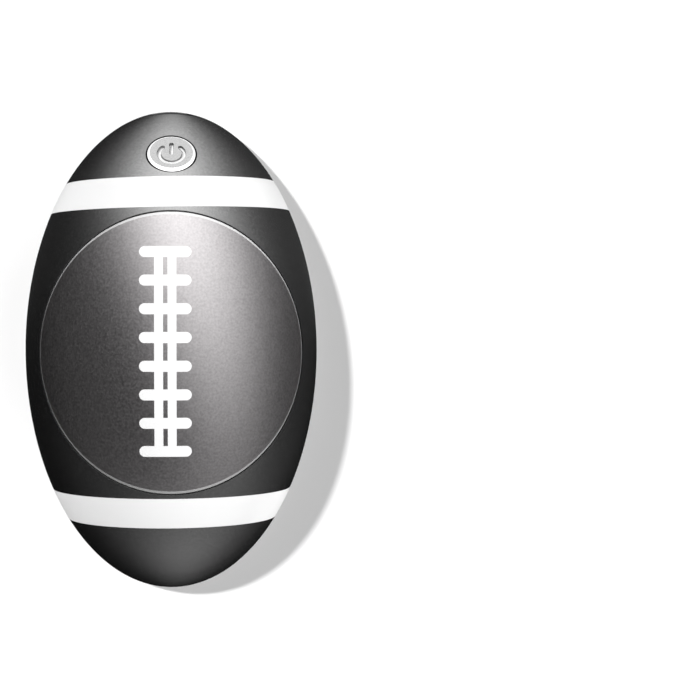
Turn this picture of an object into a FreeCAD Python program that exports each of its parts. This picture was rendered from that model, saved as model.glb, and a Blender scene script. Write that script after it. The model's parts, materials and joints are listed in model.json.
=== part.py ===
import FreeCAD, Part
import math
import os
import re
import Sketcher

# Rechargeable hand warmer: half of a small ball of round section, flat back down.
# Frame: origin in the middle of the flat back, +Z up through the dome,
# +Y towards the button and the charging socket, +X to the right seen from the front.

doc = FreeCAD.newDocument("HandWarmer")

# Driving sizes in millimetres, one cell each.
sizes = {
    # dome
    "length": 104.0,
    "width": 63.4,
    "thickness": 31.7,
    "shell_wall": 2.4,
    "rim_width": 1.65,
    "rim_round": 1.3,
    "parting_gap": 0.15,
    "parting_chamfer": 0.25,
    "overrun": 2.0,
    # back cover
    "cover_plate": 2.0,
    "lip_height": 2.2,
    "lip_wall": 1.2,
    "lip_gap": 0.2,
    "lip_notch": 16.0,
    "hook_length": 6.0,
    "hook_reach": 0.5,
    "hook_height": 0.9,
    "hook_lift": 0.8,
    "hook_gap": 0.1,
    # magnets in the back
    "magnet_margin": 9.3,
    "magnet_diameter": 2.9,
    "magnet_height": 2.2,
    "magnet_recess": 0.25,
    "magnet_chamfer": 0.25,
    "dimple_diameter": 1.3,
    "dimple_depth": 0.25,
    "well_gap": 0.2,
    "well_wall": 1.15,
    # heat panel and the layers under it
    "panel_side_margin": 4.25,
    "panel_end_margin": 23.0,
    "panel_groove": 0.25,
    "panel_skin": 1.0,
    "panel_bevel": 0.12,
    "ledge_width": 2.2,
    "bond_gap": 0.06,
    "adhesive_layer": 0.25,
    "film_layer": 0.25,
    "film_inset": 0.6,
    "foam_layer": 2.0,
    "foam_inset": 3.8,
    "cone_start_share": 0.125,
    # power button and its switch
    "button_setback": 10.4,
    "button_diameter": 10.2,
    "button_gap": 0.25,
    "button_proud": 0.15,
    "button_edge": 1.3,
    "button_edge_drop": 0.35,
    "button_crown": 4.0,
    "button_wall": 1.2,
    "button_travel": 0.4,
    "collar_wall": 1.9,
    "collar_depth": 3.2,
    "stop_gap": 0.05,
    "flange_reach": 0.6,
    "flange_height": 0.8,
    "nub_diameter": 3.0,
    "nub_height": 0.4,
    "plunger_diameter": 3.4,
    "plunger_gap": 0.15,
    "plunger_height": 0.6,
    "plunger_seat": 0.5,
    "switch_size": 6.0,
    "switch_height": 2.0,
    "switch_round": 0.4,
    "button_board_width": 19.6,
    "button_board_length": 9.0,
    "board_thickness": 1.0,
    "switch_post_spread": 7.9,
    "switch_post_diameter": 3.4,
    "switch_screw_shank": 1.4,
    "switch_screw_head": 2.6,
    "switch_screw_crown": 0.8,
    "switch_screw_length": 3.6,
    "screw_gap": 0.05,
    "pilot_run": 0.4,
    # indicator lights
    "light_pitch": 4.0,
    "light_setback": 13.6,
    "light_pin": 0.8,
    "light_pin_gap": 0.05,
    "light_recess": 0.2,
    "guide_bar": 1.0,
    "guide_width": 3.0,
    "guide_gap": 0.05,
    "led_length": 1.6,
    "led_width": 0.8,
    "led_height": 0.45,
    "led_gap": 0.1,
    # main board
    "board_margin": 0.8,
    "board_length": 9.5,
    "taper_length": 5.5,
    "nose_length": 3.0,
    "nose_width": 12.0,
    "nose_setback": 5.0,
    "board_boss_inset": 2.2,
    "board_boss_setback": 2.4,
    "boss_diameter": 4.8,
    "chip_size": 4.0,
    "chip_height": 0.9,
    "chip_margin": 1.5,
    "chip_setback": 2.5,
    "coil_size": 3.6,
    "coil_height": 1.2,
    "coil_round": 0.7,
    # charging socket
    "socket_width": 8.94,
    "socket_height": 3.16,
    "socket_depth": 7.3,
    "socket_skin": 0.3,
    "socket_sink": 1.2,
    "socket_drop": 1.6,
    "socket_foot_reach": 1.1,
    "socket_foot_length": 1.4,
    "socket_foot_setback": 3.2,
    "board_notch_gap": 0.15,
    "socket_gap": 0.22,
    "socket_back": 1.6,
    "tongue_width": 6.69,
    "tongue_height": 0.7,
    "tongue_sink": 0.9,
    # battery and its tray
    "cell_clearance": 1.1,
    "cell_end_margin": 28.5,
    "cell_headroom": 15.3,
    "cell_shift": -3.0,
    "cell_round": 2.2,
    "terrace_length": 4.0,
    "terrace_height": 1.6,
    "guard_margin": 2.5,
    "guard_length": 3.4,
    "guard_gap": 0.1,
    "pad_layer": 0.5,
    "pad_inset": 4.0,
    "tray_gap": 0.3,
    "tray_wall": 1.2,
    "tray_floor": 1.2,
    "tray_depth_share": 0.64,
    "tray_lift": 0.4,
    "tray_round": 2.0,
    "tray_window_share": 0.24,
    "ear_inset": 6.0,
    "ear_stand": 3.2,
    "ear_radius": 2.8,
    "screw_shank": 2.0,
    "screw_head": 3.6,
    "screw_crown": 1.1,
    "screw_floor": 1.3,
    "recess_width": 0.6,
    "recess_depth": 0.5,
    "recess_reach_share": 0.6,
    # leads
    "battery_lead": 1.3,
    "heater_lead": 1.1,
    "switch_lead": 0.8,
    "sensor_lead": 0.6,
    "lane_gap": 0.9,
    "lead_step": 3.0,
    "lead_landing": 4.0,
    "short_landing": 1.2,
    "tail_setback": 5.8,
    "upper_bend_share": 0.64,
    "lower_bend_share": 0.3,
    "bend_share": 0.45,
    "bead_width": 2.4,
    "bead_length": 1.6,
    "bead_height": 1.2,
    "bead_seat_share": 0.75,
}

# Sizes worked out from the driving ones.
worked = {
    "half_length": "length / 2",
    "half_width": "width / 2",
    "seat_width": "half_width - rim_width",
    "seat_length": "half_length - rim_width",
    "lip_inset": "shell_wall + lip_gap",
    "lip_top": "cover_plate + lip_height",
    "panel_half_width": "half_width - panel_side_margin",
    "panel_half_length": "half_length - panel_end_margin",
    "adhesive_inset": "panel_skin + bond_gap",
    "recess_inset": "adhesive_inset + adhesive_layer + bond_gap",
    "film_inset_under": "panel_skin + bond_gap + film_layer",
    "foam_inset_top": "film_inset_under + bond_gap",
    "magnet_reach": "half_width - magnet_margin",
    "well_diameter": "magnet_diameter + 2 * well_gap",
    "well_top": "magnet_recess + magnet_height + bond_gap",
    "well_boss_top": "well_top + well_wall",
    "button_reach": "half_length - button_setback",
    "button_height": "thickness * sqrt(1 - (button_reach / half_length)^2)",
    "button_tilt": "atan2(button_reach / half_length^2; button_height / thickness^2)",
    "button_bore": "button_diameter + 2 * button_gap",
    "flange_top": "collar_depth + stop_gap",
    "flange_bottom": "flange_top + flange_height",
    "plunger_top": "flange_bottom + nub_height",
    "switch_top": "plunger_top + plunger_height",
    "button_board_top": "switch_top + switch_height",
    "button_board_under": "button_board_top + board_thickness",
    "guide_top": "cover_plate + guide_gap + guide_bar",
    "board_under": "guide_top + led_gap + led_height",
    "board_top": "board_under + board_thickness",
    "board_nose": "half_length - nose_setback",
    "board_neck": "board_nose - nose_length",
    "board_shoulder": "board_neck - taper_length",
    "board_back": "board_shoulder - board_length",
    "lip_reach_share": "board_shoulder / (half_length - lip_inset - lip_wall)",
    "lip_level_share": "lip_top / (thickness - lip_inset - lip_wall)",
    "board_half_width": "(half_width - lip_inset - lip_wall)"
                        " * sqrt(1 - lip_reach_share^2 - lip_level_share^2) - board_margin",
    "board_boss_spread": "board_half_width - board_boss_inset",
    "board_boss_reach": "board_back + board_boss_setback",
    "chip_spread": "board_half_width - chip_margin - chip_size / 2",
    "chip_reach": "board_shoulder - chip_setback",
    "light_reach": "half_length - light_setback",
    "socket_level": "board_top + socket_height / 2 - socket_drop",
    "socket_front": "half_length * sqrt(1 - (socket_level / thickness)^2) - socket_sink",
    "socket_rear": "socket_front - socket_depth",
    "tray_under": "lip_top + tray_lift",
    "tray_deck": "tray_under + tray_floor",
    "cell_under": "tray_deck + pad_layer + 2 * bond_gap",
    "cell_height": "thickness - cell_headroom - cell_under",
    "cell_length": "2 * (half_length - cell_end_margin)",
    "cell_front": "cell_shift + cell_length / 2",
    "tray_depth": "cell_height * tray_depth_share",
    "tray_half_length": "cell_length / 2 + tray_gap + tray_wall",
    "tray_front": "cell_shift + tray_half_length",
    "tray_rear": "cell_shift - tray_half_length",
    "cell_reach_share": "(cell_length / 2 - cell_shift) / (half_length - shell_wall)",
    "cell_level_share": "(cell_under + cell_height) / (thickness - shell_wall)",
    "tray_reach_share": "(tray_half_length - cell_shift) / (half_length - shell_wall)",
    "tray_level_share": "(tray_deck + tray_depth) / (thickness - shell_wall)",
    "room_at_cell": "(half_width - shell_wall) * sqrt(1 - cell_reach_share^2 - cell_level_share^2)",
    "room_at_tray": "(half_width - shell_wall) * sqrt(1 - tray_reach_share^2 - tray_level_share^2)",
    "cell_width": "2 * (min(room_at_cell; room_at_tray - tray_gap - tray_wall) - cell_clearance)",
    "tray_half_width": "cell_width / 2 + tray_gap + tray_wall",
    "tray_window": "cell_length * tray_window_share",
    "ear_spread": "tray_half_width - ear_inset",
    "guard_width": "cell_width - 2 * guard_margin",
    "guard_under": "cell_under + terrace_height + guard_gap",
    "guard_middle": "guard_under + board_thickness / 2",
    "gate_depth": "tray_deck + tray_depth + tray_gap + battery_lead / 2 - guard_middle",
    "tail_reach": "panel_half_length - tail_setback",
    "sensor_lane": "bead_width / 3",
    "switch_lane": "sensor_lane + (sensor_lead + switch_lead) / 2 + lane_gap",
    "heater_lane": "switch_lane + (switch_lead + heater_lead) / 2 + lane_gap",
    "battery_lane": "heater_lane + (heater_lead + battery_lead) / 2 + lane_gap",
}

sheet = doc.addObject("Spreadsheet::Sheet", "Sizes")
for row, (alias, amount) in enumerate([*sizes.items(), *worked.items()], start=1):
    text = "=" + amount if alias in worked else str(amount)
    sheet.set("A%d" % row, alias)
    sheet.set("B%d" % row, text)
    sheet.setAlias("B%d" % row, alias)
doc.recompute()


# Helpers

def cell(expression):
    # Puts the sheet's name in front of every cell named in the expression.
    known = lambda word: "Sizes." + word[0] if word[0] in sizes or word[0] in worked else word[0]
    return re.sub(r"[a-z][a-z_]*", known, expression)


def amount_of(expression):
    result = sheet.evalExpression(cell(expression))
    return float(getattr(result, "Value", result))


def bind(item, **properties):
    for name, expression in properties.items():
        item.setExpression(name.replace("__", "."), cell(expression))
    return item


def place(item, x="0", y="0", z="0"):
    return bind(item, Placement__Base__x=x, Placement__Base__y=y, Placement__Base__z=z)


def turn(item, axis, angle):
    item.Placement = FreeCAD.Placement(FreeCAD.Vector(), FreeCAD.Rotation(FreeCAD.Vector(*axis), 1))
    return bind(item, Placement__Rotation__Angle=angle)


def on_button_axis(item, depth, side="0"):
    # Stands an item on the button's axis: its own +Z points out of the dome, depth counts inwards.
    turn(item, (-1, 0, 0), "button_tilt")
    return place(item, side, "button_reach - (%s) * sin(button_tilt)" % depth,
                 "button_height - (%s) * cos(button_tilt)" % depth)


def cylinder(name, diameter, height):
    return bind(doc.addObject("Part::Cylinder", name), Radius="(%s) / 2" % diameter, Height=height)


def box(name, width, length, height):
    return bind(doc.addObject("Part::Box", name), Length=width, Width=length, Height=height)


def centred_box(name, width, length, height, x="0", y="0", z="0"):
    solid = box(name, width, length, height)
    return place(solid, "%s - (%s) / 2" % (x, width), "%s - (%s) / 2" % (y, length), z)


def cut(name, base, tool):
    result = doc.addObject("Part::Cut", name)
    result.Base = base
    result.Tool = tool
    return result


def fuse(name, *solids):
    result = doc.addObject("Part::MultiFuse", name)
    result.Shapes = list(solids)
    return result


def common(name, *solids):
    result = doc.addObject("Part::MultiCommon", name)
    result.Shapes = list(solids)
    return result


def group(name, *solids):
    result = doc.addObject("Part::Compound", name)
    result.Links = list(solids)
    return result


def dome(name, inset):
    # Half ellipsoid on the back plane, every half axis shorter than the outside by the inset.
    # Its poles lie at the two ends, so the face is smooth where the panel is cut out of it.
    solid = doc.addObject("Part::Ellipsoid", name)
    solid.Angle3 = 180
    turn(solid, (1, 0, 0), "90")
    return bind(solid, Radius1="half_length - (%s)" % inset, Radius2="half_width - (%s)" % inset,
                Radius3="thickness - (%s)" % inset)


def oval(name, half_x, half_y, level):
    curve = doc.addObject("Part::Ellipse", name)
    turn(curve, (0, 0, 1), "(%s) >= (%s) ? 0 : 90" % (half_x, half_y))
    place(curve, z=level)
    return bind(curve, MajorRadius="max(%s; %s)" % (half_x, half_y),
                MinorRadius="min(%s; %s)" % (half_x, half_y))


def oval_block(name, lower, upper):
    # Ruled solid between two level ovals, each given as half width, half length and level.
    solid = doc.addObject("Part::Loft", name)
    solid.Sections = [oval(name + "_lower", *lower), oval(name + "_upper", *upper)]
    solid.Solid = True
    solid.Ruled = True
    return solid


def panel_cone(name, inset):
    # Cone from the ball's centre through an oval on the dome, so its wall meets the dome nearly square.
    half_x = "(panel_half_width - (%s))" % inset
    half_y = "(panel_half_length - (%s))" % inset
    slope_x = "%s / (thickness * sqrt(1 - (%s / half_width)^2))" % (half_x, half_x)
    slope_y = "%s / (thickness * sqrt(1 - (%s / half_length)^2))" % (half_y, half_y)
    levels = ("thickness * cone_start_share", "thickness + overrun")
    ends = [("(%s) * (%s)" % (slope_x, z), "(%s) * (%s)" % (slope_y, z), z) for z in levels]
    return oval_block(name, *ends)


def curved_layer(name, outline, top_inset, under_inset):
    # Sheet that follows the dome between two insets, inside an outline that stands across it.
    over = common(name + "_over", outline, dome(name + "_top", top_inset))
    return cut(name, over, dome(name + "_under", under_inset))


def stadium(name, width, height, depth, front, level):
    # Slot shape with round ends, lying along Y and ending at its front.
    spread = "((%s) - (%s)) / 2" % (width, height)
    rear = "(%s) - (%s)" % (front, depth)
    block = box(name + "_middle", "(%s) - (%s)" % (width, height), depth, height)
    place(block, "-%s" % spread, rear, "(%s) - (%s) / 2" % (level, height))
    ends = []
    for side in ("-", ""):
        end = turn(cylinder(name + "_end", height, depth), (-1, 0, 0), "90")
        ends.append(place(end, side + spread, rear, level))
    return fuse(name, block, *ends)


def origin_plane(body, role):
    return next(plane for plane in body.Origin.OriginFeatures if plane.Role == role)


def sketch_on(body, name, role, loops=(), circles=(), lift="0"):
    # Closed loops of points and circles, every coordinate tied to its expression.
    sketch = body.newObject("Sketcher::SketchObject", name)
    sketch.AttachmentSupport = [(origin_plane(body, role), "")]
    sketch.MapMode = "FlatFace"
    bind(sketch, AttachmentOffset__Base__z=lift)

    def tie(kind, element, point, expression):
        number = sketch.addConstraint(Sketcher.Constraint(kind, -1, 1, element, point, amount_of(expression)))
        sketch.setExpression("Constraints[%d]" % number, cell(expression))

    for loop in loops:
        first = sketch.GeometryCount
        corners = [FreeCAD.Vector(amount_of(x), amount_of(y), 0) for x, y in loop]
        for index, corner in enumerate(corners):
            sketch.addGeometry(Part.LineSegment(corner, corners[(index + 1) % len(corners)]), False)
        for index, (x, y) in enumerate(loop):
            after = first + (index + 1) % len(loop)
            sketch.addConstraint(Sketcher.Constraint("Coincident", first + index, 2, after, 1))
            tie("DistanceX", first + index, 1, x)
            tie("DistanceY", first + index, 1, y)
    for x, y, diameter in circles:
        centre = FreeCAD.Vector(amount_of(x), amount_of(y), 0)
        ring = Part.Circle(centre, FreeCAD.Vector(0, 0, 1), amount_of(diameter) / 2)
        element = sketch.addGeometry(ring, False)
        tie("DistanceX", element, 3, x)
        tie("DistanceY", element, 3, y)
        number = sketch.addConstraint(Sketcher.Constraint("Diameter", element, amount_of(diameter)))
        sketch.setExpression("Constraints[%d]" % number, cell(diameter))
    return sketch


def rectangle(left, right, near, far):
    return [(left, near), (right, near), (right, far), (left, far)]


def centred(width, length, y="0"):
    half = "(%s) / 2" % length
    return rectangle("-(%s) / 2" % width, "(%s) / 2" % width, "%s - %s" % (y, half), "%s + %s" % (y, half))


def new_body(name):
    return doc.addObject("PartDesign::Body", name)


def pad(body, name, sketch, height):
    feature = body.newObject("PartDesign::Pad", name)
    feature.Profile = sketch
    bind(feature, Length=height)
    doc.recompute()
    return feature


def pocket(body, name, sketch, depth):
    # Cuts down from the sketch and checks that it took something away.
    before = body.Shape.Volume
    feature = body.newObject("PartDesign::Pocket", name)
    feature.Profile = sketch
    bind(feature, Length=depth)
    doc.recompute()
    if body.Shape.Volume >= before:
        raise RuntimeError(name + " cuts nothing")
    return feature


def round_edges(body, name, radius, wanted, kind="Fillet", size="Radius"):
    # Rounds or bevels the edges of the body's last feature that pass the test.
    base = body.Tip
    chosen = ["Edge%d" % (n + 1) for n, edge in enumerate(base.Shape.Edges) if wanted(edge)]
    feature = body.newObject("PartDesign::" + kind, name)
    feature.Base = (base, chosen)
    bind(feature, **{size: radius})
    doc.recompute()
    return feature


def upright(edge):
    low, high = edge.BoundBox.ZMin, edge.BoundBox.ZMax
    return high - low > edge.Length * 0.999


def revolved(name, profile):
    # Body turned about its own Z axis from a closed profile of radius and height.
    body = new_body(name)
    sketch = sketch_on(body, name + "_profile", "XZ_Plane", [profile])
    feature = body.newObject("PartDesign::Revolution", name + "_turned")
    feature.Profile = sketch
    feature.ReferenceAxis = (sketch, ["V_Axis"])
    feature.Angle = 360
    doc.recompute()
    return body


nodes = {}


def keep(name, item):
    item.Label = name
    nodes[name] = item
    return item


# Places of the screws: beside the switch, on the main board and at the tray's ears

switch_post_sides = ("-switch_post_spread", "switch_post_spread")
board_boss_sides = ("-board_boss_spread", "board_boss_spread")
ear_places = [(side + "ear_spread", end) for end in ("tray_front + ear_stand", "tray_rear - ear_stand")
              for side in ("-", "")]


# Snap hooks stand square to the lip at these shares of a full turn.

hook_turn_shares = (0, 1 / 10, 4 / 10, 5 / 10, 6 / 10, 9 / 10)


def hook_block(name, share, gap):
    angle = "(%r * 360)" % share
    half_x = "(half_width - lip_inset)"
    half_y = "(half_length - lip_inset)"
    facing = "atan2(%s * sin(%s); %s * cos(%s))" % (half_x, angle, half_y, angle)
    inward = "lip_wall / 2"
    across = "(hook_length / 2 + (%s))" % gap
    block = box(name, "lip_wall / 2 + hook_reach + (%s)" % gap, "2 * %s" % across,
                "hook_height + 2 * (%s)" % gap)
    turn(block, (0, 0, 1), facing)
    return place(block,
                 "%s * cos(%s) - %s * cos(%s) + %s * sin(%s)" % (half_x, angle, inward, facing, across, facing),
                 "%s * sin(%s) - %s * sin(%s) - %s * cos(%s)" % (half_y, angle, inward, facing, across, facing),
                 "cover_plate + hook_lift - (%s)" % gap)


# Front shell

def front_shell():
    blank = new_body("shell_blank")
    form = blank.newObject("PartDesign::AdditiveEllipsoid", "shell_form")
    form.Angle1 = 0
    bind(form, Radius1="thickness", Radius2="half_width", Radius3="half_length")
    doc.recompute()
    round_edges(blank, "rim_rounding", "rim_round",
                lambda edge: edge.BoundBox.ZMax < amount_of("rim_round") / 2)

    cavity = dome("shell_cavity", "shell_wall")
    seat = oval_block("cover_seat", ("seat_width", "seat_length", "-overrun"),
                      ("seat_width", "seat_length", "cover_plate"))
    lead_in = oval_block("seat_chamfer",
                         ("seat_width + parting_chamfer", "seat_length + parting_chamfer", "0"),
                         ("seat_width", "seat_length", "parting_chamfer"))
    recess = cut("panel_recess", panel_cone("recess_cone", "-panel_groove"),
                 dome("recess_floor", "recess_inset"))
    opening = panel_cone("opening_cone", "ledge_width")
    skin = cut("shell_skin", blank, fuse("shell_hollows", cavity, seat, lead_in, recess, opening))

    # Posts, the button's collar and its bore
    collar = on_button_axis(cylinder("collar", "button_bore + 2 * collar_wall", "collar_depth"),
                            "collar_depth")
    posts = [collar]
    bores = [on_button_axis(cylinder("button_bore_cut", "button_bore", "collar_depth + 2 * overrun"),
                            "collar_depth + overrun")]
    for side in switch_post_sides:
        post = cylinder("switch_post", "switch_post_diameter", "button_board_top")
        posts.append(on_button_axis(post, "button_board_top", side))
        bore = cylinder("switch_pilot", "switch_screw_shank + 2 * screw_gap",
                        "switch_screw_length + pilot_run")
        bores.append(on_button_axis(bore, "button_board_under", side))
    trimmed = common("shell_posts", fuse("raw_posts", *posts),
                     dome("post_limit", "(shell_wall + recess_inset) / 2"))

    port = stadium("port", "socket_width + 2 * socket_gap", "socket_height + 2 * socket_gap",
                   "shell_wall + 3 * overrun", "half_length + overrun", "socket_level")
    slots = [hook_block("hook_slot", share, "hook_gap") for share in hook_turn_shares]
    solid = cut("shell_solid", fuse("shell_with_posts", skin, trimmed),
                fuse("shell_cuts", port, *bores, *slots))
    return keep("front_shell", solid)


# Heat panel with its layers

def heat_panel():
    blank = curved_layer("panel_blank", panel_cone("panel_edge", "0"), "0", "panel_skin")
    doc.recompute()
    body = new_body("panel_body")
    body.BaseFeature = blank
    doc.recompute()

    def on_outer_rim(edge):
        points = [edge.valueAt(edge.FirstParameter + (edge.LastParameter - edge.FirstParameter) * share)
                  for share in (0.25, 0.75)]
        return all(abs(dome_share(point) - 1) < 1e-4 and abs(rim_share(point) - 1) < 1e-3 for point in points)

    def dome_share(point):
        return ((point.x / amount_of("half_width")) ** 2 + (point.y / amount_of("half_length")) ** 2
                + (point.z / amount_of("thickness")) ** 2)

    def rim_share(point):
        return ((point.x / amount_of("panel_half_width")) ** 2
                + (point.y / amount_of("panel_half_length")) ** 2)

    round_edges(body, "panel_bevelled", "panel_bevel", on_outer_rim, "Chamfer", "Size")
    return keep("heat_panel", body)


def panel_layers():
    ring = cut("adhesive_outline", panel_cone("adhesive_outer", "panel_groove"),
               panel_cone("adhesive_inner", "ledge_width"))
    keep("panel_adhesive", curved_layer("adhesive_ring", ring, "adhesive_inset",
                                        "adhesive_inset + adhesive_layer"))
    keep("heater_film", curved_layer("film", panel_cone("film_edge", "ledge_width + film_inset"),
                                     "adhesive_inset", "film_inset_under"))
    keep("insulation_foam", curved_layer("foam", panel_cone("foam_edge", "ledge_width + foam_inset"),
                                         "foam_inset_top", "foam_inset_top + foam_layer"))


# Back cover

def back_cover():
    plate_x = "seat_width - parting_gap"
    plate_y = "seat_length - parting_gap"
    bevel = oval_block("plate_bevel",
                       ("%s - parting_chamfer" % plate_x, "%s - parting_chamfer" % plate_y, "0"),
                       (plate_x, plate_y, "parting_chamfer"))
    plate = oval_block("plate", (plate_x, plate_y, "parting_chamfer"), (plate_x, plate_y, "cover_plate"))
    band = centred_box("lip_band", "width", "length", "lip_height", z="cover_plate")
    notch = centred_box("lip_notch_cut", "lip_notch", "half_length", "lip_height + overrun",
                        y="half_length", z="cover_plate")
    lip = cut("lip", curved_layer("lip_ring", band, "lip_inset", "lip_inset + lip_wall"), notch)
    hooks = [hook_block("hook", share, "0") for share in hook_turn_shares]
    bosses = []
    wells = []
    stands = [(x, "board_boss_reach", "board_under") for x in board_boss_sides]
    stands += [(x, y, "tray_under") for x, y in ear_places]
    for x, y, level in stands:
        boss = cylinder("screw_boss", "boss_diameter", "%s - cover_plate" % level)
        bosses.append(place(boss, x, y, "cover_plate"))
        pilot = cylinder("pilot", "screw_shank + 2 * screw_gap",
                         "%s - screw_floor + pilot_run + overrun" % level)
        wells.append(place(pilot, x, y, "screw_floor - pilot_run"))
    for angle in range(0, 360, 60):
        spot = ("magnet_reach * cos(%d)" % angle, "magnet_reach * sin(%d)" % angle)
        boss = cylinder("well_boss", "well_diameter + 2 * well_wall", "well_boss_top - cover_plate")
        bosses.append(place(boss, *spot, "cover_plate"))
        wells.append(place(cylinder("well", "well_diameter", "well_top + overrun"), *spot, "-overrun"))
    for step in (-1, 0, 1):
        hole = cylinder("light_hole", "light_pin + 2 * light_pin_gap", "cover_plate + 2 * overrun")
        wells.append(place(hole, "%d * light_pitch" % step, "light_reach", "-overrun"))
    solid = cut("cover_solid", fuse("cover_raw", bevel, plate, lip, *hooks, *bosses),
                fuse("cover_holes", *wells))
    return keep("back_cover", solid)


# Magnets: every other one has its north pole outwards, so two warmers join back to back.

def magnets(name, first_angle):
    radius = "magnet_diameter / 2"
    dimple = "dimple_diameter / 2"
    low = "magnet_recess"
    high = "magnet_recess + magnet_height"
    profile = [("0", "%s + dimple_depth" % low), (dimple, low), ("%s - magnet_chamfer" % radius, low),
               (radius, "%s + magnet_chamfer" % low), (radius, high), ("0", high)]
    discs = []
    for angle in range(first_angle, 360, 120):
        disc = revolved("magnet", profile)
        discs.append(place(disc, "magnet_reach * cos(%d)" % angle, "magnet_reach * sin(%d)" % angle))
    return keep(name, group(name + "_set", *discs))


# Power button, switch and the small board behind it, all on the button's axis

def power_button():
    outer = "button_diameter / 2"
    flange = "button_diameter / 2 + flange_reach"
    inner = "button_diameter / 2 - button_wall"
    nub = "nub_diameter / 2"
    roof = "button_proud - button_wall"
    profile = [("0", "button_proud"), ("%s - button_edge" % outer, "button_proud"),
               (outer, "button_proud - button_edge_drop"), (outer, "-flange_top"), (flange, "-flange_top"),
               (flange, "-flange_bottom"), (inner, "-flange_bottom"), (inner, roof), (nub, roof),
               (nub, "-plunger_top"), ("0", "-plunger_top")]
    cap = revolved("button_cap", profile)
    top = amount_of("button_proud")
    round_edges(cap, "button_rounding", "button_crown",
                lambda edge: edge.BoundBox.ZMin > top - 1e-6 and edge.BoundBox.XLength > top)
    return keep("power_button", on_button_axis(cap, "0"))


def switch():
    body = new_body("switch_block")
    outline = sketch_on(body, "switch_outline", "XY_Plane", [centred("switch_size", "switch_size")])
    pad(body, "switch_case", outline, "switch_height")
    round_edges(body, "switch_corners", "switch_round", upright)
    bore = sketch_on(body, "switch_bore", "XY_Plane",
                     circles=[("0", "0", "plunger_diameter + 2 * plunger_gap")], lift="switch_height")
    pocket(body, "switch_bored", bore, "plunger_seat + button_travel + plunger_gap")
    keep("switch_case", on_button_axis(body, "button_board_top"))

    radius = "plunger_diameter / 2"
    low = "-(plunger_height + plunger_seat)"
    plunger = revolved("plunger", [("0", "0"), (radius, "0"), (radius, low), ("0", low)])
    keep("switch_plunger", on_button_axis(plunger, "plunger_top"))

    board = new_body("small_board")
    holes = [(side, "0", "switch_screw_shank + 2 * screw_gap") for side in switch_post_sides]
    outline = sketch_on(board, "small_board_outline", "XY_Plane",
                        [centred("button_board_width", "button_board_length")], holes)
    pad(board, "small_board_sheet", outline, "board_thickness")
    keep("button_board", on_button_axis(board, "button_board_under"))


# Screws are made head down, with the underside of the head at their origin.

def screw(name, shank, head, crown, length):
    profile = [("0", "0 - (%s)" % crown), ("(%s) / 2" % head, "0 - (%s)" % crown), ("(%s) / 2" % head, "0"),
               ("(%s) / 2" % shank, "0"), ("(%s) / 2" % shank, "(%s) - (%s) / 2" % (length, shank)),
               ("0", length)]
    body = revolved(name, profile)
    reach = "(%s) * recess_reach_share" % head
    loops = ([centred(reach, "recess_width")], [centred("recess_width", reach)])
    for number, loop in enumerate(loops):
        slot = sketch_on(body, "%s_slot_%d" % (name, number), "XY_Plane", loop,
                         lift="recess_depth - (%s)" % crown)
        pocket(body, "%s_recess_%d" % (name, number), slot, "recess_depth + overrun")
    return body


def screws():
    board_places = [(x, "board_boss_reach") for x in board_boss_sides]
    kinds = (("board_screw", "board_top", board_places), ("tray_screw", "tray_deck", ear_places))
    for name, level, places in kinds:
        set_of_screws = []
        for x, y in places:
            item = turn(screw(name, "screw_shank", "screw_head", "screw_crown", "%s - screw_floor" % level),
                        (1, 0, 0), "180")
            set_of_screws.append(place(item, x, y, level))
        keep(name + "s", group(name + "_set", *set_of_screws))
    sizes_of_small_screw = ("switch_screw_shank", "switch_screw_head", "switch_screw_crown",
                            "switch_screw_length")
    small = [on_button_axis(screw("switch_screw", *sizes_of_small_screw), "button_board_under", side)
             for side in switch_post_sides]
    keep("switch_screws", group("switch_screw_set", *small))


# Main board with its parts, the indicator lights and the charging socket

def main_board():
    half = "board_half_width"
    nose = "nose_width / 2"
    notch = "(socket_width / 2 + board_notch_gap)"
    right = [(half, "board_back"), (half, "board_shoulder"), (nose, "board_neck"), (nose, "board_nose"),
             (notch, "board_nose"), (notch, "socket_rear - board_notch_gap")]
    left = [("0 - " + x, y) for x, y in reversed(right)]
    body = new_body("main_sheet")
    holes = [(x, "board_boss_reach", "screw_shank + 2 * screw_gap") for x in board_boss_sides]
    outline = sketch_on(body, "main_outline", "XY_Plane", [right + left], holes)
    pad(body, "main_pad", outline, "board_thickness")
    keep("main_board", place(body, z="board_under"))

    keep("control_chip", centred_box("chip", "chip_size", "chip_size", "chip_height",
                                     "-chip_spread", "chip_reach", "board_top"))
    coil = new_body("coil")
    outline = sketch_on(coil, "coil_outline", "XY_Plane", [centred("coil_size", "coil_size")])
    pad(coil, "coil_pad", outline, "coil_height")
    round_edges(coil, "coil_corners", "coil_round", upright)
    keep("power_coil", place(coil, "chip_spread", "chip_reach", "board_top"))

    lamps = [centred_box("led", "led_width", "led_length", "led_height",
                         "%d * light_pitch" % step, "light_reach", "board_under - led_height")
             for step in (-1, 0, 1)]
    keep("indicator_leds", group("led_set", *lamps))

    spread = "(light_pitch + guide_width / 2)"
    level = "cover_plate + guide_gap"
    pieces = [centred_box("guide_middle", "2 * %s" % spread, "guide_width", "guide_bar",
                          y="light_reach", z=level)]
    for side in ("-", ""):
        end = cylinder("guide_end", "guide_width", "guide_bar")
        pieces.append(place(end, side + spread, "light_reach", level))
    for step in (-1, 0, 1):
        pin = cylinder("guide_pin", "light_pin", "%s + guide_bar / 2 - light_recess" % level)
        pieces.append(place(pin, "%d * light_pitch" % step, "light_reach", "light_recess"))
    keep("light_guide", fuse("guide", *pieces))


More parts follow.
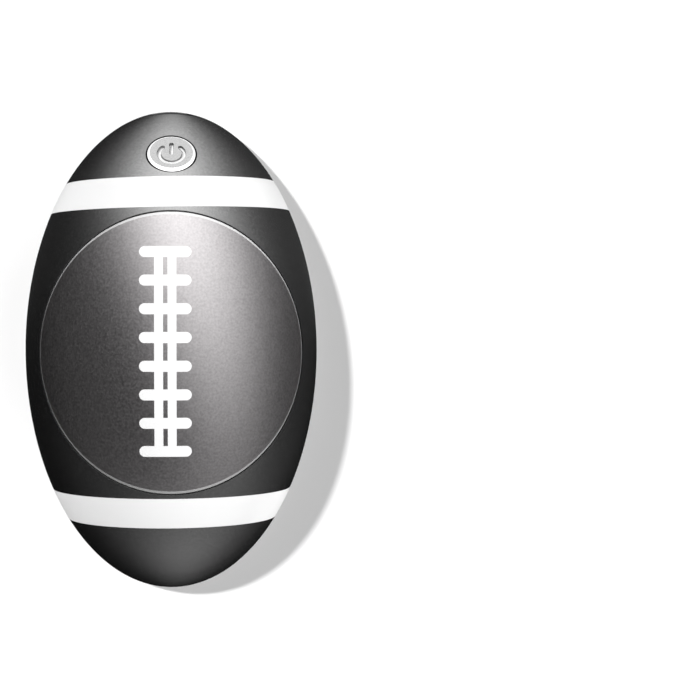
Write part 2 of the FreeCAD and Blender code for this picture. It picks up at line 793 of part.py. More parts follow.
def charging_socket():
    outside = stadium("socket_outside", "socket_width", "socket_height", "socket_depth", "socket_front",
                      "socket_level")
    inside = stadium("socket_inside", "socket_width - 2 * socket_skin", "socket_height - 2 * socket_skin",
                     "socket_depth - socket_skin + overrun", "socket_front + overrun", "socket_level")
    feet = []
    for side in ("-", ""):
        for back in ("socket_foot_length / 2 + socket_skin", "socket_foot_setback"):
            feet.append(centred_box("socket_foot", "2 * socket_foot_reach", "socket_foot_length",
                                    "socket_skin", side + "socket_width / 2", "socket_rear + %s" % back,
                                    "board_top + bond_gap"))
    keep("usb_socket", cut("socket_shell", fuse("socket_on_feet", outside, *feet), inside))

    plug_back = "(socket_skin + bond_gap)"
    block = stadium("insulator_block", "socket_width - 2 * (%s)" % plug_back,
                    "socket_height - 2 * (%s)" % plug_back, "socket_back",
                    "socket_rear + %s + socket_back" % plug_back, "socket_level")
    tongue = centred_box("tongue", "tongue_width", "socket_depth - tongue_sink - %s" % plug_back,
                         "tongue_height",
                         y="socket_front - (socket_depth + tongue_sink - %s) / 2" % plug_back,
                         z="socket_level - tongue_height / 2")
    keep("usb_tongue", fuse("insulator", block, tongue))


# Battery, its guard board, foam pad and tray

def battery():
    body = new_body("pouch")
    near = "cell_shift - cell_length / 2"
    shoulder = "cell_front - terrace_length"
    block = sketch_on(body, "pouch_outline", "XY_Plane",
                      [rectangle("-cell_width / 2", "cell_width / 2", near, shoulder)])
    pad(body, "pouch_pad", block, "cell_height")
    round_edges(body, "pouch_rounding", "cell_round",
                lambda edge: edge.BoundBox.YLength > edge.Length * 0.999)
    flap = sketch_on(body, "terrace_outline", "XY_Plane",
                     [rectangle("-guard_width / 2", "guard_width / 2", "%s - cell_round" % shoulder,
                                "cell_front")])
    pad(body, "terrace_pad", flap, "terrace_height")
    keep("battery_cell", place(body, z="cell_under"))

    keep("guard_board", centred_box("guard", "guard_width", "guard_length", "board_thickness",
                                    y="cell_front - guard_length / 2", z="guard_under"))
    keep("battery_pad", centred_box("pad", "cell_width - 2 * pad_inset", "cell_length - 2 * pad_inset",
                                    "pad_layer", y="cell_shift", z="tray_deck + bond_gap"))


def battery_tray():
    body = new_body("tray")
    outer = sketch_on(body, "tray_outline", "XY_Plane",
                      [centred("2 * tray_half_width", "2 * tray_half_length", "cell_shift")])
    pad(body, "tray_block", outer, "tray_floor + tray_depth")
    round_edges(body, "tray_corners", "tray_round", upright)
    well = sketch_on(body, "tray_well", "XY_Plane",
                     [centred("cell_width + 2 * tray_gap", "cell_length + 2 * tray_gap", "cell_shift")],
                     lift="tray_floor + tray_depth")
    pocket(body, "tray_hollow", well, "tray_depth")
    webs = []
    for x, y in ear_places:
        edge = "tray_front - tray_wall" if "front" in y else "tray_rear + tray_wall"
        ends = (edge, y) if "front" in y else (y, edge)
        webs.append(rectangle("%s - ear_radius" % x, "%s + ear_radius" % x, *ends))
    pad(body, "ear_webs", sketch_on(body, "ear_web_outline", "XY_Plane", webs), "tray_floor")
    ears = sketch_on(body, "ear_outline", "XY_Plane",
                     circles=[(x, y, "2 * ear_radius") for x, y in ear_places])
    pad(body, "ears", ears, "tray_floor")
    holes = sketch_on(body, "ear_holes", "XY_Plane",
                      circles=[(x, y, "screw_shank + 2 * screw_gap") for x, y in ear_places],
                      lift="tray_floor")
    pocket(body, "ears_drilled", holes, "tray_floor + overrun")
    windows = sketch_on(body, "tray_windows", "XY_Plane",
                        [centred("cell_width - 2 * pad_inset", "tray_window",
                                 "cell_shift %s tray_window" % sign) for sign in ("-", "+")],
                        lift="tray_floor")
    pocket(body, "tray_opened", windows, "tray_floor + overrun")
    gate = sketch_on(body, "lead_gate", "XY_Plane",
                     [centred("2 * (battery_lane + battery_lead)", "2 * tray_wall", "tray_front")],
                     lift="tray_floor + tray_depth")
    pocket(body, "tray_notched", gate, "gate_depth")
    keep("battery_tray", place(body, z="tray_under"))


# Leads: round wires on straight runs joined by tangent arcs

def wire_path(points):
    corners = [FreeCAD.Vector(*[amount_of(part) for part in point]) for point in points]
    edges = []
    start = corners[0]
    for before, corner, after in zip(corners, corners[1:], corners[2:]):
        inward = (before - corner).normalize()
        outward = (after - corner).normalize()
        reach = amount_of("bend_share") * min(before.distanceToPoint(corner), after.distanceToPoint(corner))
        half_turn = (math.pi - inward.getAngle(outward)) / 2
        bow = reach / math.tan(half_turn)
        middle = (inward + outward).normalize()
        enter = corner + inward * reach
        leave = corner + outward * reach
        crown = corner + middle * (bow / math.cos(half_turn) - bow)
        edges.append(Part.LineSegment(start, enter).toShape())
        edges.append(Part.Arc(enter, crown, leave).toShape())
        start = leave
    edges.append(Part.LineSegment(start, corners[-1]).toShape())
    return Part.Wire(edges)


def lead_pair(name, lane, points, diameter):
    wires = []
    for side in ("-", ""):
        path = wire_path([(side + lane, y, z) for y, z in points])
        start = path.Edges[0]
        ring = Part.Circle(start.valueAt(start.FirstParameter), start.tangentAt(start.FirstParameter),
                           amount_of(diameter) / 2)
        item = doc.addObject("Part::Feature", name + "_wire")
        item.Shape = path.makePipeShell([Part.Wire(ring.toShape())], True, True)
        wires.append(item)
    return keep(name, group(name + "_pair", *wires))


def film_height(x, y):
    return ("(thickness - film_inset_under) * sqrt(1 - (%s / (half_width - film_inset_under))^2"
            " - (%s / (half_length - film_inset_under))^2)" % (x, y))


def leads():
    rest = "board_top + bond_gap + %s / 2"
    low = rest % "battery_lead"
    lead_pair("battery_leads", "battery_lane", [("cell_front + bond_gap", "guard_middle"),
                                                ("tray_front + lead_step", "guard_middle"),
                                                ("board_back", low),
                                                ("board_back + lead_landing", low)], "battery_lead")

    low = rest % "heater_lead"
    high = film_height("heater_lane", "tail_reach") + " - heater_lead / 2"
    drop = "(%s - board_top)" % high
    lead_pair("heater_leads", "heater_lane", [("tail_reach", high),
                                              ("tail_reach + heater_lead / 2",
                                               "board_top + %s * upper_bend_share" % drop),
                                              ("tail_reach + heater_lead",
                                               "board_top + %s * lower_bend_share" % drop),
                                              ("board_back + lead_step", low),
                                              ("board_back + lead_step + lead_landing", low)], "heater_lead")

    bead = doc.addObject("Part::Ellipsoid", "bead")
    bind(bead, Radius1="bead_height / 2", Radius2="bead_width / 2", Radius3="bead_length / 2")
    bead_level = film_height("0", "tail_reach") + " - bond_gap - bead_height * bead_seat_share"
    keep("thermistor", place(bead, y="tail_reach", z=bead_level))
    low = rest % "sensor_lead"
    high = "(%s - bead_height / 2)" % bead_level
    drop = "(%s - board_top)" % high
    lead_pair("sensor_leads", "sensor_lane", [("tail_reach", high),
                                              ("tail_reach + sensor_lead",
                                               "board_top + %s * upper_bend_share" % drop),
                                              ("tail_reach + 2 * sensor_lead",
                                               "board_top + %s * lower_bend_share" % drop),
                                              ("board_back", low),
                                              ("board_back + short_landing", low)], "sensor_lead")

    low = rest % "switch_lead"
    depths = ("(button_board_under + bond_gap)", "(button_board_under + lead_step)")
    ways_in = [("button_reach - %s * sin(button_tilt)" % depth,
                "button_height - %s * cos(button_tilt)" % depth) for depth in depths]
    lead_pair("switch_leads", "switch_lane", ways_in + [("board_back + lead_landing", low),
                                                        ("board_back + short_landing", low)], "switch_lead")


front_shell()
back_cover()
heat_panel()
panel_layers()
magnets("south_magnets", 0)
magnets("north_magnets", 60)
power_button()
switch()
screws()
main_board()
charging_socket()
battery()
battery_tray()
leads()
doc.recompute()

for item in doc.Objects:
    if "Invalid" in item.State or "Error" in item.State:
        raise RuntimeError("%s failed: %s" % (item.Name, item.State))
for name, item in nodes.items():
    if item.Shape.isNull() or not item.Shape.isValid() or not item.Shape.Solids:
        raise RuntimeError(name + " has no sound solid")

os.makedirs("parts", exist_ok=True)
for name, item in nodes.items():
    item.Shape.exportStep(os.path.join("parts", name + ".step"))
    print("%-16s %d solids  %9.2f mm3" % (name, len(item.Shape.Solids), item.Shape.Volume))
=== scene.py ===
import json
import bpy
import numpy as np
from mathutils import Matrix, Vector


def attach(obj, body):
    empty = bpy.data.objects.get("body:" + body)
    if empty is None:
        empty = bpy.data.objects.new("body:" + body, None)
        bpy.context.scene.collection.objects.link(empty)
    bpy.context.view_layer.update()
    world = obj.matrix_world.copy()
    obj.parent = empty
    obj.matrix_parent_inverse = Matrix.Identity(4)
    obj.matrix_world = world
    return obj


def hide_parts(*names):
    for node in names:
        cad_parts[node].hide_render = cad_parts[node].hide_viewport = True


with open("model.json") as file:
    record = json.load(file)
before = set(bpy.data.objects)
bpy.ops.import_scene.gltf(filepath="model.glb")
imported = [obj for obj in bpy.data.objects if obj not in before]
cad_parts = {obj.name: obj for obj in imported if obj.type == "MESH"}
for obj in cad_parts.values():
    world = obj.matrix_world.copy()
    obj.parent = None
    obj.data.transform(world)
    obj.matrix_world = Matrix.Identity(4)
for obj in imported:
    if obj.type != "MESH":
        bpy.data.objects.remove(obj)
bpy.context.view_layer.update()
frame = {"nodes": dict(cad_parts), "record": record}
scene = bpy.context.scene
scene.view_settings.view_transform = "Standard"
mm = 0.001  # every size below is in millimetres, and every angle in degrees
ball = (31.7, 52.0, 31.7)  # half axes of the dome, centred on the back's plane
print("frame loaded,", len(frame["nodes"]), "pieces")


def linear(hexText):
    # sRGB hex to linear: straight part below 0.04045, power 2.4 above it
    channel = np.array([int(hexText[k:k + 2], 16) for k in (0, 2, 4)]) / 255
    bent = np.where(channel <= 0.04045, channel / 12.92, ((channel + 0.055) / 1.055) ** 2.4)
    return (*bent.tolist(), 1.0)


def addNode(tree, kind, settings, inputs):
    # one node with its settings; an input takes a number, a socket, or the first output of another node
    made = tree.nodes.new(kind)
    for name, value in settings.items():
        setattr(made, name, value)
    for name, value in inputs.items():
        value = value.outputs[0] if isinstance(value, bpy.types.Node) else value
        if isinstance(value, bpy.types.NodeSocket):
            tree.links.new(value, made.inputs[name])
        else:
            made.inputs[name].default_value = value
    return made


def calc(tree, operation, *values):
    # one math node on up to three values
    return addNode(tree, "ShaderNodeMath", {"operation": operation}, dict(enumerate(values)))


def partsOf(tree, vector):
    # X, Y and Z of a vector
    return addNode(tree, "ShaderNodeSeparateXYZ", {}, {0: vector}).outputs.values()


def lengthOf(tree, vector):
    # how long a vector is
    return addNode(tree, "ShaderNodeVectorMath", {"operation": "LENGTH"}, {0: vector}).outputs["Value"]


def flatLength(tree, aside, upward):
    # straight length of a step aside together with a step upward
    return lengthOf(tree, addNode(tree, "ShaderNodeCombineXYZ", {}, {0: aside, 1: upward}))


# camera: straight above the dome, some 39 cm up, turned so that the warmer stands left of the middle
camera = {
    "place": (1.9, 9.3, 387.0),
    "aim": (39.2, -0.1, 0.0),
    "lens": 90.2,
    "nearest": 10.0,
    "farthest": 20000.0,
}

eye = bpy.data.objects.new("eye", bpy.data.cameras.new("eye"))
scene.collection.objects.link(eye)
scene.camera = eye
eye.data.lens = camera["lens"]
eye.data.clip_start = camera["nearest"] * mm
eye.data.clip_end = camera["farthest"] * mm
ahead = (Vector(camera["aim"]) - Vector(camera["place"])).normalized()
right = ahead.cross(Vector((0, 1, 0))).normalized()  # the length of the warmer runs up the picture
turned = Matrix((right, right.cross(ahead), -ahead)).transposed().to_4x4()
eye.matrix_world = Matrix.Translation(Vector(camera["place"]) * mm) @ turned
print("camera set")


# studio: white table, three soft glows that only shining surfaces mirror, three lamps for everything else
studio = {
    "tableHalf": 6000.0,
    "tableDrop": 0.05,
    "tableWhite": "f9f9f9",
    "backdrop": 1.0,
    # a glow's roll and width change towards the button, as far along as the limits say
    "glows": {
        "softbox": {
            "strength": 2.65, "roll": 16.2, "rollChange": -33.0, "width": 17.4, "widthChange": 16.0,
            "tilt": 31.0, "tiltWidth": 33.5},
        "farCard": {"strength": 0.46, "roll": 9.5, "width": 29.5, "tilt": -43.0, "tiltWidth": 18.5},
        "longStrip": {"strength": 0.06, "roll": 50.0, "width": 130.0, "tilt": 45.0, "tiltWidth": 40.0},
    },
    "rollLimits": (-1.0, 0.5),
    "widthLimits": (0.0, 0.55),
    # plain grey below and above, the heights between which it changes, and how much the right adds to height
    "room": {"low": 0.008, "high": 0.062, "lowAt": -0.95, "highAt": 0.05, "rightCounts": 0.3},
    "lamps": {
        "sideLamp": {"from": (-0.565, 0.339, 0.753), "strength": 2.6, "spread": 3.5, "shadow": True},
        "fillLamp": {"from": (0.796, -0.159, 0.584), "strength": 2.85, "spread": 60.0, "shadow": False},
        "underLamp": {"from": (0.1, -0.4, -1.0), "strength": 1.35, "spread": 60.0, "shadow": True},
    },
}

tableMesh = bpy.data.meshes.new("table")
half = studio["tableHalf"] * mm
corners = np.array([[-1, -1], [1, -1], [1, 1], [-1, 1]]) * half
depth = np.full(len(corners), -studio["tableDrop"] * mm)
tableMesh.from_pydata(np.column_stack([corners, depth]).tolist(), [], [(0, 1, 2, 3)])
table = bpy.data.objects.new("table", tableMesh)
scene.collection.objects.link(table)
table.visible_glossy = False  # dark flags round the warmer: its satin sides stay dark against the white
table.visible_shadow = False  # lets the lamp below reach the back

# white laminate, pressed: even and matt, see-through only from below
tableLook = bpy.data.materials.new("whiteLaminate")
tableLook.use_nodes = True
tree = tableLook.node_tree
tree.nodes.clear()
laminate = addNode(tree, "ShaderNodeBsdfDiffuse", {}, {"Color": linear(studio["tableWhite"])})
below = addNode(tree, "ShaderNodeNewGeometry", {}, {}).outputs["Backfacing"]
clear = addNode(tree, "ShaderNodeBsdfTransparent", {}, {})
faced = addNode(tree, "ShaderNodeMixShader", {}, {0: below, 1: laminate, 2: clear})
addNode(tree, "ShaderNodeOutputMaterial", {}, {"Surface": faced})
tableMesh.materials.append(tableLook)

# world: dark room with the glows; a direction is named by the surface that mirrors it straight up, which
# faces halfway between it and overhead: its roll to the side and its tilt along the warmer
world = bpy.data.worlds.new("studioRoom")
scene.world = world
world.use_nodes = True
world.cycles_visibility.diffuse = False
tree = world.node_tree
tree.nodes.clear()
overhead = (0.0, 0.0, 1.0)
outward = addNode(tree, "ShaderNodeTexCoord", {}, {}).outputs["Generated"]
x, y, z = partsOf(tree, outward)
room = studio["room"]
level = calc(tree, "MULTIPLY_ADD", x, room["rightCounts"], z)
total = addNode(tree, "ShaderNodeMapRange", {"interpolation_type": "SMOOTHSTEP"}, {
    "Value": level, "From Min": room["lowAt"], "From Max": room["highAt"],
    "To Min": room["low"], "To Max": room["high"]})
facing = addNode(tree, "ShaderNodeVectorMath", {"operation": "ADD"}, {0: outward, 1: overhead})
facing = addNode(tree, "ShaderNodeVectorMath", {"operation": "NORMALIZE"}, {0: facing})
x, y, z = partsOf(tree, facing)
roll = calc(tree, "ARCTAN2", x, z)
tilt = calc(tree, "ARCTAN2", y, z)
rollPart, widthPart = (
    addNode(tree, "ShaderNodeClamp", {}, {"Value": y, "Min": ends[0], "Max": ends[1]})
    for ends in (studio["rollLimits"], studio["widthLimits"]))
# each glow is a bell over roll and tilt: strength times e to the minus square of the distance in widths
for glow in studio["glows"].values():
    rollChange = np.radians(glow.get("rollChange", 0.0))
    widthChange = np.radians(glow.get("widthChange", 0.0))
    centre = calc(tree, "MULTIPLY_ADD", rollPart, rollChange, np.radians(glow["roll"]))
    width = calc(tree, "MULTIPLY_ADD", widthPart, widthChange, np.radians(glow["width"]))
    aside = calc(tree, "DIVIDE", calc(tree, "SUBTRACT", roll, centre), width)
    along = calc(tree, "SUBTRACT", tilt, np.radians(glow["tilt"]))
    along = calc(tree, "DIVIDE", along, np.radians(glow["tiltWidth"]))
    away = calc(tree, "MULTIPLY_ADD", aside, aside, calc(tree, "MULTIPLY", along, along))
    bell = calc(tree, "EXPONENT", calc(tree, "MULTIPLY", away, -1.0))
    total = calc(tree, "MULTIPLY_ADD", bell, glow["strength"], total)
# seen directly the backdrop is plain white
direct = addNode(tree, "ShaderNodeLightPath", {}, {}).outputs["Is Camera Ray"]
seen = addNode(tree, "ShaderNodeMix", {"data_type": "FLOAT"}, {0: direct, 2: total, 3: studio["backdrop"]})
air = addNode(tree, "ShaderNodeBackground", {}, {"Color": linear("ffffff"), "Strength": seen})
addNode(tree, "ShaderNodeOutputWorld", {}, {"Surface": air})

for name, setting in studio["lamps"].items():
    lamp = bpy.data.objects.new(name, bpy.data.lights.new(name, "SUN"))
    lamp.data.energy = setting["strength"]
    lamp.data.angle = np.radians(setting["spread"])
    lamp.data.use_shadow = setting["shadow"]
    lamp.rotation_euler = Vector(setting["from"]).to_track_quat("Z", "Y").to_euler()
    lamp.visible_glossy = False  # light for the table, the prints and the plastics, with no second highlight
    scene.collection.objects.link(lamp)
print("studio lit")


# finishes: one start for every material, its grain from a noise of the size given in millimetres
grainSpan = (0.3, 0.7)  # nearly all of a noise's values lie between these
plainDetail = 2.0


def startFinish(finish):
    # colour and roughness each run between two values with the grain; relief is the height of its bumps
    made = bpy.data.materials.new(finish["name"])
    made.use_nodes = True
    tree = made.node_tree
    tree.nodes.clear()
    place = addNode(tree, "ShaderNodeTexCoord", {}, {}).outputs["Object"]
    grain = addNode(tree, "ShaderNodeTexNoise", {}, {
        "Vector": place, "Scale": 1 / (finish["grain"] * mm), "Detail": finish.get("detail", plainDetail)})
    mottle = addNode(tree, "ShaderNodeMapRange", {}, {
        "Value": grain, "From Min": grainSpan[0], "From Max": grainSpan[1], "To Min": 0.0, "To Max": 1.0})
    colour = addNode(tree, "ShaderNodeMix", {"data_type": "RGBA"}, {
        0: mottle, 6: linear(finish["dark"]), 7: linear(finish["light"])}).outputs[2]
    smooth, coarse = finish["rough"]
    rough = calc(tree, "MULTIPLY_ADD", mottle, coarse - smooth, smooth).outputs[0]
    relief = addNode(tree, "ShaderNodeBump", {}, {
        "Strength": 1.0, "Distance": finish["relief"] * mm, "Height": grain})
    shader = addNode(tree, "ShaderNodeBsdfPrincipled", {}, {
        "Base Color": colour, "Roughness": rough, "Normal": relief, "Metallic": finish.get("metal", 0.0)})
    for key, socket in (("ior", "IOR"), ("clear", "Transmission Weight")):
        if key in finish:
            shader.inputs[socket].default_value = finish[key]
    addNode(tree, "ShaderNodeOutputMaterial", {}, {"Surface": shader})
    return {
        "material": made, "tree": tree, "place": place, "mottle": mottle,
        "colour": colour, "rough": rough, "shader": shader}


def layInk(look, mask, ink):
    # prints an ink over the finish where the mask is 1
    tree, shader = look["tree"], look["shader"]
    look["colour"] = addNode(tree, "ShaderNodeMix", {"data_type": "RGBA"}, {
        0: mask, 6: look["colour"], 7: linear(ink["hex"])}).outputs[2]
    look["rough"] = addNode(tree, "ShaderNodeMix", {"data_type": "FLOAT"}, {
        0: mask, 2: look["rough"], 3: ink["rough"]}).outputs[0]
    tree.links.new(look["colour"], shader.inputs["Base Color"])
    tree.links.new(look["rough"], shader.inputs["Roughness"])


def setMetal(look, covered, scatter=0.0):
    # metal wherever no ink or darkened bare moulding (painted shade) covers it, less the little light that
    # its grain scatters
    tree = look["tree"]
    metal = addNode(tree, "ShaderNodeMath", {"operation": "MULTIPLY_ADD", "use_clamp": True}, {
        0: look["mottle"], 1: -scatter, 2: calc(tree, "SUBTRACT", 1.0, covered)})
    tree.links.new(metal.outputs[0], look["shader"].inputs["Metallic"])


def ellipsoidShare(look, halfAxes):
    # distance from the middle of the back as a share of an ellipsoid's own: 1 on its skin; inf is endless
    scaled = addNode(look["tree"], "ShaderNodeVectorMath", {"operation": "MULTIPLY"}, {
        0: look["place"], 1: (1 / (np.array(halfAxes) * mm)).tolist()})
    return lengthOf(look["tree"], scaled)


def offLine(tree, value, line):
    # distance to either side of a line
    return calc(tree, "ABSOLUTE", calc(tree, "SUBTRACT", value, line))


def pastEnd(tree, value, end):
    # how far a value goes past an end, and 0 before it
    return calc(tree, "MAXIMUM", calc(tree, "SUBTRACT", value, end), 0.0)


def within(tree, distance, halfWidth, soft):
    # 1 where a distance is under the half width and 0 past it, over a soft edge
    return addNode(tree, "ShaderNodeMapRange", {}, {
        "Value": distance, "From Min": (halfWidth + soft) * mm, "From Max": (halfWidth - soft) * mm,
        "To Min": 0.0, "To Max": 1.0})


looks = {}
printSoft = 0.04  # soft edge of every print

# front shell: ABS, moulded and sprayed with a black lacquer full of fine metal flake: one broad sheen
shell = {
    "name": "lacqueredAbs", "dark": "808080", "light": "8c8c8c", "rough": (0.21, 0.27),
    "grain": 0.45, "relief": 0.004, "scatter": 0.03,
    "skin": 0.997,  # the spray lies from this share of the dome's distance outwards
    # dark colour below the spray's skin: bare moulding, and painted shade in the bores, grooves and rim
    "paintedLight": {"hex": "262627", "rough": 0.5},
}
stripes = {"from": 30.0, "to": 36.45, "topLean": 0.021, "ink": {"hex": "f8f8f8", "rough": 0.42}}
look = startFinish(shell)
tree = look["tree"]
x, y = partsOf(tree, look["place"])[:2]
# stripes: bands across the warmer on both sides of the middle; the one near the button leans a little
lean = calc(tree, "MULTIPLY", calc(tree, "GREATER_THAN", y, 0.0), -stripes["topLean"])
reach = calc(tree, "MULTIPLY_ADD", x, lean, calc(tree, "ABSOLUTE", y))
offBand = offLine(tree, reach, (stripes["from"] + stripes["to"]) / 2 * mm)
band = within(tree, offBand, (stripes["to"] - stripes["from"]) / 2, printSoft)
layInk(look, band, stripes["ink"])
# the spray reaches the outside skin alone: bores, grooves and the rim below it show the bare moulding, its
# dark colour painted shade there
inner = calc(tree, "LESS_THAN", ellipsoidShare(look, ball), shell["skin"])
layInk(look, inner, shell["paintedLight"])
setMetal(look, calc(tree, "ADD", band, inner), shell["scatter"])
looks["shell_plastic"] = look

# heat panel: aluminium, bead blasted and anodised gunmetal, a fine sparkle that spreads the glow widely
panel = {
    "name": "blastedAluminium", "dark": "a3a0a1", "light": "b7b4b5", "rough": (0.28, 0.36),
    "grain": 0.45, "relief": 0.006, "scatter": 0.04,
}
cutRim = {
    "halfWidth": 27.45, "halfLength": 29.0, "lineAcross": 0.12, "lineAlong": 0.62,
    # near-white: painted highlight on the panel edge's bevel
    "paintedLight": {"hex": "ececec", "rough": 0.7},
}
laces = {
    "bars": 8, "pitch": 5.8, "barLength": 10.6, "barWidth": 2.24, "stripWidth": 1.8, "stripGap": 0.9,
    "aside": -1.25, "up": 0.37,
    "skin": 0.985,  # the print lies from this share of the dome's distance outwards
    "ink": {"hex": "f8f8f8", "rough": 0.42},
}
look = startFinish(panel)
tree = look["tree"]
x, y = partsOf(tree, look["place"])[:2]
# a fine bright matt line along the panel's edge, wider towards its ends: painted highlight on the edge's
# bevel
insideRimHighlight = (cutRim["halfWidth"] - cutRim["lineAcross"], cutRim["halfLength"] - cutRim["lineAlong"], np.inf)
layInk(look, calc(tree, "GREATER_THAN", ellipsoidShare(look, insideRimHighlight), 1.0), cutRim["paintedLight"])
across = offLine(tree, x, laces["aside"] * mm)
along = calc(tree, "SUBTRACT", y, laces["up"] * mm)
reach = calc(tree, "ABSOLUTE", along)
# bars: distance to the middle line of the nearest bar, round at both ends
local = calc(tree, "WRAP", along, laces["pitch"] * mm, 0.0)
local = calc(tree, "SUBTRACT", local, laces["pitch"] / 2 * mm)
past = pastEnd(tree, across, (laces["barLength"] - laces["barWidth"]) / 2 * mm)
bar = within(tree, flatLength(tree, past, local), laces["barWidth"] / 2, printSoft)
inRow = calc(tree, "LESS_THAN", reach, laces["bars"] / 2 * laces["pitch"] * mm)
bar = calc(tree, "MULTIPLY", bar, inRow)
# strips: two bands beside the middle line, from the first bar to the last
offStrip = offLine(tree, across, (laces["stripGap"] + laces["stripWidth"]) / 2 * mm)
strip = within(tree, offStrip, laces["stripWidth"] / 2, printSoft)
inRun = calc(tree, "LESS_THAN", reach, (laces["bars"] - 1) / 2 * laces["pitch"] * mm)
strip = calc(tree, "MULTIPLY", strip, inRun)
outside = calc(tree, "GREATER_THAN", ellipsoidShare(look, ball), laces["skin"])
lace = calc(tree, "MULTIPLY", calc(tree, "MAXIMUM", bar, strip), outside)
layInk(look, lace, laces["ink"])
setMetal(look, lace, panel["scatter"])
looks["panel_metal"] = look

# back cover: grey ABS from a spark-eroded mould, a fine even speckle of light and dark
cover = {
    "name": "sparkTexturedAbs", "dark": "787878", "light": "909090", "rough": (0.50, 0.66),
    "grain": 0.42, "relief": 0.018, "detail": 3.0, "ior": 1.5,
}
backPrint = {
    "ringRadius": 18.05, "ringLine": 1.1,
    "arcRadius": 22.15, "arcLine": 3.3, "arcHalfSpan": 48.5, "arcTurn": 120.0,
    "windowLength": 15.6, "windowWidth": 5.4, "windowLine": 0.5, "windowReach": 38.4,
    "skin": 0.12,  # the print lies no higher than this above the back's plane
    "ink": {"hex": "c2c2c2", "rough": 0.5},
}
look = startFinish(cover)
tree = look["tree"]
x, y, z = partsOf(tree, look["place"])
radius = flatLength(tree, x, y)
ring = within(tree, offLine(tree, radius, backPrint["ringRadius"] * mm), backPrint["ringLine"] / 2, printSoft)
# arcs: angle folded into one third of a turn; past its end the distance grows along the circle: round ends
third = np.radians(backPrint["arcTurn"])
folded = calc(tree, "WRAP", calc(tree, "ARCTAN2", y, x), third / 2, -third / 2)
past = pastEnd(tree, calc(tree, "ABSOLUTE", folded), np.radians(backPrint["arcHalfSpan"]))
past = calc(tree, "MULTIPLY", past, radius)
offArc = calc(tree, "SUBTRACT", radius, backPrint["arcRadius"] * mm)
arc = within(tree, flatLength(tree, past, offArc), backPrint["arcLine"] / 2, printSoft)
# window: outline of a long shape with round ends about the three lights
halfRun = (backPrint["windowLength"] - backPrint["windowWidth"]) / 2 * mm
past = pastEnd(tree, calc(tree, "ABSOLUTE", x), halfRun)
away = flatLength(tree, past, calc(tree, "SUBTRACT", y, backPrint["windowReach"] * mm))
away = offLine(tree, away, (backPrint["windowWidth"] - backPrint["windowLine"]) / 2 * mm)
window = within(tree, away, backPrint["windowLine"] / 2, printSoft)
printed = calc(tree, "MAXIMUM", calc(tree, "MAXIMUM", ring, arc), window)
onFace = calc(tree, "LESS_THAN", z, backPrint["skin"] * mm)
layInk(look, calc(tree, "MULTIPLY", printed, onFace), backPrint["ink"])
looks["cover_plastic"] = look
print("shell, panel and cover finished")

